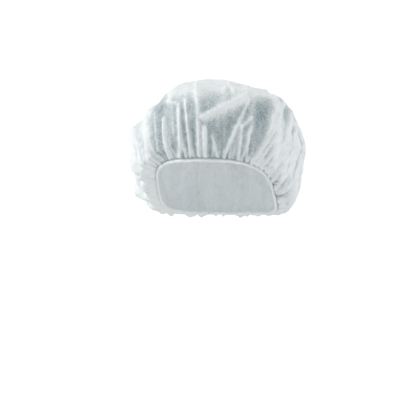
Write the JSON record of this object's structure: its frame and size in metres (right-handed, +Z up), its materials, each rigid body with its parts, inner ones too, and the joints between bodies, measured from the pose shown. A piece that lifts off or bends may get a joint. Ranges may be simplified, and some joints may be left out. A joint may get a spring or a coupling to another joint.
{
  "type": "disposable hair cover cap",
  "caption": "Puffed round cap of thin white nonwoven cloth, gathered on an elastic loop in a narrow hem, that covers the hair.",
  "frame": {"origin": "on the inner side of the crown's top, where the top of a head bears the cap", "axes": "+Z up, the cap's front (over the forehead) faces -Y, the wearer's left is +X"},
  "size_m": [0.2059, 0.255, 0.169],
  "materials": {
    "spunbond": "matte white spunbond polypropylene nonwoven, translucent",
    "elastic": "covered rubber elastic, cream white"
  },
  "bodies": {
    "root": {"crown": "spunbond", "elastic_loop": "elastic"}
  },
  "joints": []
}
